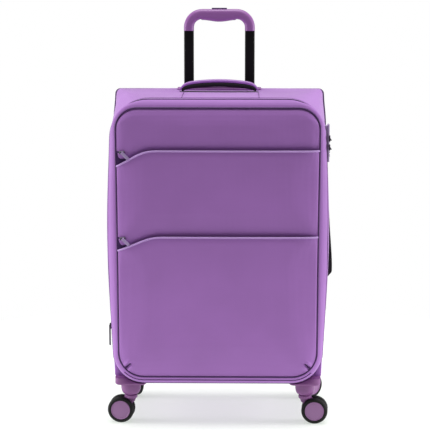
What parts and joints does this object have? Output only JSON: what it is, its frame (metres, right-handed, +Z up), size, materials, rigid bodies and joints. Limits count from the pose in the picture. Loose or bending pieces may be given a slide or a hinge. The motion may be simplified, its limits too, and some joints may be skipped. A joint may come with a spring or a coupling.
{
  "type": "upright suitcase",
  "caption": "Softside upright suitcase with swivel casters, a telescoping trolley handle, carry handles, zipped front pockets, a side-opening lid, an expansion ring and a combination lock.",
  "frame": {"origin": "on the floor, at the middle of the bounding box's base", "axes": "+Z up, the front panel faces -Y, +X to the right seen from the front"},
  "size_m": [0.465, 0.2806, 0.8406],
  "materials": {
    "fabric": "padded purple woven polyester with a fine crosswise grain and a soft sheen",
    "trim": "purple moulded plastic, satin",
    "lining": "grey woven lining over a thin board",
    "tube": "aluminium tube with black enamel, satin",
    "black": "black moulded plastic",
    "webbing": "black padded webbing",
    "metal": "gunmetal plated zinc",
    "badge": "brushed aluminium tinted violet, plain",
    "steel": "bright steel",
    "tyre": "black polyurethane tyre round a purple hub"
  },
  "bodies": {
    "case": {"rear_shell": "fabric", "back_panel": "fabric", "lining_panel": "lining", "handle_well": "trim", "outer_tube_left": "tube", "outer_tube_right": "tube", "trolley_foot": "black", "top_handle_tab_left": "fabric", "top_handle_tab_right": "fabric", "side_handle_tab_upper": "fabric", "side_handle_tab_lower": "fabric", "caster_bracket_front_left": "trim", "caster_bracket_front_right": "trim", "caster_bracket_rear_left": "trim", "caster_bracket_rear_right": "trim"},
    "expansion": {"expansion_ring": "fabric", "expansion_sleeve": "lining", "lock_body": "metal"},
    "lid": {"lid_panel": "fabric", "pocket_upper": "fabric", "pocket_lower": "fabric", "badge": "badge"},
    "trolley_stage": {"middle_tube_left": "tube", "middle_tube_right": "tube", "middle_bridge": "black"},
    "trolley_handle": {"inner_tube_left": "tube", "inner_tube_right": "tube", "trolley_grip": "trim"},
    "grip_button": {"grip_button": "black"},
    "top_handle": {"top_handle": "webbing"},
    "side_handle": {"side_handle": "webbing"},
    "dial_1": {"lock_dial_1": "black"},
    "dial_2": {"lock_dial_2": "black"},
    "dial_3": {"lock_dial_3": "black"},
    "lock_release": {"lock_release": "black"},
    "lock_cylinder": {"lock_cylinder": "steel"},
    "main_slider_upper": {"main_slider_upper": "metal"},
    "main_slider_lower": {"main_slider_lower": "metal"},
    "expansion_slider": {"expansion_slider": "metal"},
    "pocket_slider_upper": {"pocket_slider_upper": "metal"},
    "pocket_slider_lower": {"pocket_slider_lower": "metal"},
    "pocket_puller_upper": {"pocket_puller_upper": "metal"},
    "pocket_puller_lower": {"pocket_puller_lower": "metal"},
    "swivel_front_left": {"caster_fork_front_left": "trim", "caster_axle_front_left": "steel"},
    "wheel_front_left_a": {"wheel_front_left_a": "tyre"},
    "wheel_front_left_b": {"wheel_front_left_b": "tyre"},
    "swivel_front_right": {"caster_fork_front_right": "trim", "caster_axle_front_right": "steel"},
    "wheel_front_right_a": {"wheel_front_right_a": "tyre"},
    "wheel_front_right_b": {"wheel_front_right_b": "tyre"},
    "swivel_rear_left": {"caster_fork_rear_left": "trim", "caster_axle_rear_left": "steel"},
    "wheel_rear_left_a": {"wheel_rear_left_a": "tyre"},
    "wheel_rear_left_b": {"wheel_rear_left_b": "tyre"},
    "swivel_rear_right": {"caster_fork_rear_right": "trim", "caster_axle_rear_right": "steel"},
    "wheel_rear_right_a": {"wheel_rear_right_a": "tyre"},
    "wheel_rear_right_b": {"wheel_rear_right_b": "tyre"}
  },
  "joints": [
    {"name": "expansion_slide", "type": "slide", "parent": "case", "child": "expansion", "axis": [0, -1, 0], "range_m": [0, 0.04]},
    {"name": "lid_hinge", "type": "hinge", "parent": "expansion", "child": "lid", "pos_m": [-0.2278, -0.1138, 0.38], "axis": [0, 0, -1], "range_deg": [0, 165]},
    {"name": "trolley_stage_slide", "type": "slide", "parent": "case", "child": "trolley_stage", "axis": [0, 0, 1], "range_m": [0, 0.17]},
    {"name": "trolley_handle_slide", "type": "slide", "parent": "trolley_stage", "child": "trolley_handle", "axis": [0, 0, 1], "range_m": [-0.165, 0]},
    {"name": "grip_button_press", "type": "slide", "parent": "trolley_handle", "child": "grip_button", "axis": [0, 0, -1], "range_m": [0, 0.0022], "stiffness_N_per_m": 400},
    {"name": "top_handle_lift", "type": "slide", "parent": "case", "child": "top_handle", "axis": [0, 0, 1], "range_m": [0, 0.012], "stiffness_N_per_m": 250},
    {"name": "side_handle_lift", "type": "slide", "parent": "case", "child": "side_handle", "axis": [1, 0, 0], "range_m": [0, 0.012], "stiffness_N_per_m": 250},
    {"name": "dial_1_spin", "type": "hinge", "parent": "expansion", "child": "dial_1", "pos_m": [0.21146, -0.1028, 0.556], "axis": [0, 0, 1], "continuous": true},
    {"name": "dial_2_spin", "type": "hinge", "parent": "expansion", "child": "dial_2", "pos_m": [0.21146, -0.1028, 0.5635], "axis": [0, 0, 1], "continuous": true},
    {"name": "dial_3_spin", "type": "hinge", "parent": "expansion", "child": "dial_3", "pos_m": [0.21146, -0.1028, 0.571], "axis": [0, 0, 1], "continuous": true},
    {"name": "lock_release_press", "type": "slide", "parent": "expansion", "child": "lock_release", "axis": [-1, 0, 0], "range_m": [0, 0.0012], "stiffness_N_per_m": 200},
    {"name": "lock_cylinder_turn", "type": "hinge", "parent": "expansion", "child": "lock_cylinder", "pos_m": [0.21476, -0.1028, 0.609], "axis": [1, 0, 0], "range_deg": [0, 90]},
    {"name": "main_slider_upper_run", "type": "slide", "parent": "expansion", "child": "main_slider_upper", "axis": [0, 0, 1], "range_m": [0, 0.012]},
    {"name": "main_slider_lower_run", "type": "slide", "parent": "expansion", "child": "main_slider_lower", "axis": [0, 0, -1], "range_m": [0, 0.25]},
    {"name": "expansion_slider_run", "type": "slide", "parent": "case", "child": "expansion_slider", "axis": [-0.0621, 0, 0.9981], "range_m": [0, 0.08]},
    {"name": "pocket_slider_upper_run", "type": "slide", "parent": "lid", "child": "pocket_slider_upper", "axis": [1, 0, 0], "range_m": [0, 0.02]},
    {"name": "pocket_puller_upper_swing", "type": "hinge", "parent": "pocket_slider_upper", "child": "pocket_puller_upper", "pos_m": [-0.1975, -0.1396, 0.5652], "axis": [-0.7071, 0, -0.7071], "range_deg": [0, 150]},
    {"name": "pocket_slider_lower_run", "type": "slide", "parent": "lid", "child": "pocket_slider_lower", "axis": [1, 0, 0], "range_m": [0, 0.02]},
    {"name": "pocket_puller_lower_swing", "type": "hinge", "parent": "pocket_slider_lower", "child": "pocket_puller_lower", "pos_m": [-0.1975, -0.1396, 0.3919], "axis": [-0.7071, 0, -0.7071], "range_deg": [0, 150]},
    {"name": "swivel_front_left_turn", "type": "hinge", "parent": "case", "child": "swivel_front_left", "pos_m": [-0.1865, -0.086, 0.07], "axis": [0, 0, 1], "continuous": true},
    {"name": "wheel_front_left_a_spin", "type": "hinge", "parent": "swivel_front_left", "child": "wheel_front_left_a", "pos_m": [-0.20553, -0.07405, 0.027], "axis": [-0.0872, -0.9962, 0], "continuous": true},
    {"name": "wheel_front_left_b_spin", "type": "hinge", "parent": "swivel_front_left", "child": "wheel_front_left_b", "pos_m": [-0.20732, -0.09447, 0.027], "axis": [-0.0872, -0.9962, 0], "continuous": true},
    {"name": "swivel_front_right_turn", "type": "hinge", "parent": "case", "child": "swivel_front_right", "pos_m": [0.1715, -0.086, 0.07], "axis": [0, 0, 1], "continuous": true},
    {"name": "wheel_front_right_a_spin", "type": "hinge", "parent": "swivel_front_right", "child": "wheel_front_right_a", "pos_m": [0.19074, -0.09762, 0.027], "axis": [0.0698, 0.9976, 0], "continuous": true},
    {"name": "wheel_front_right_b_spin", "type": "hinge", "parent": "swivel_front_right", "child": "wheel_front_right_b", "pos_m": [0.19217, -0.07717, 0.027], "axis": [0.0698, 0.9976, 0], "continuous": true},
    {"name": "swivel_rear_left_turn", "type": "hinge", "parent": "case", "child": "swivel_rear_left", "pos_m": [-0.1865, 0.094, 0.07], "axis": [0, 0, 1], "continuous": true},
    {"name": "wheel_rear_left_a_spin", "type": "hinge", "parent": "swivel_rear_left", "child": "wheel_rear_left_a", "pos_m": [-0.1888, 0.11636, 0.027], "axis": [-0.8387, -0.5446, 0], "continuous": true},
    {"name": "wheel_rear_left_b_spin", "type": "hinge", "parent": "swivel_rear_left", "child": "wheel_rear_left_b", "pos_m": [-0.20599, 0.10519, 0.027], "axis": [-0.8387, -0.5446, 0], "continuous": true},
    {"name": "swivel_rear_right_turn", "type": "hinge", "parent": "case", "child": "swivel_rear_right", "pos_m": [0.1715, 0.094, 0.07], "axis": [0, 0, 1], "continuous": true},
    {"name": "wheel_rear_right_a_spin", "type": "hinge", "parent": "swivel_rear_right", "child": "wheel_rear_right_a", "pos_m": [0.19357, 0.09824, 0.027], "axis": [-0.6157, 0.788, 0], "continuous": true},
    {"name": "wheel_rear_right_b_spin", "type": "hinge", "parent": "swivel_rear_right", "child": "wheel_rear_right_b", "pos_m": [0.18095, 0.11439, 0.027], "axis": [-0.6157, 0.788, 0], "continuous": true}
  ]
}
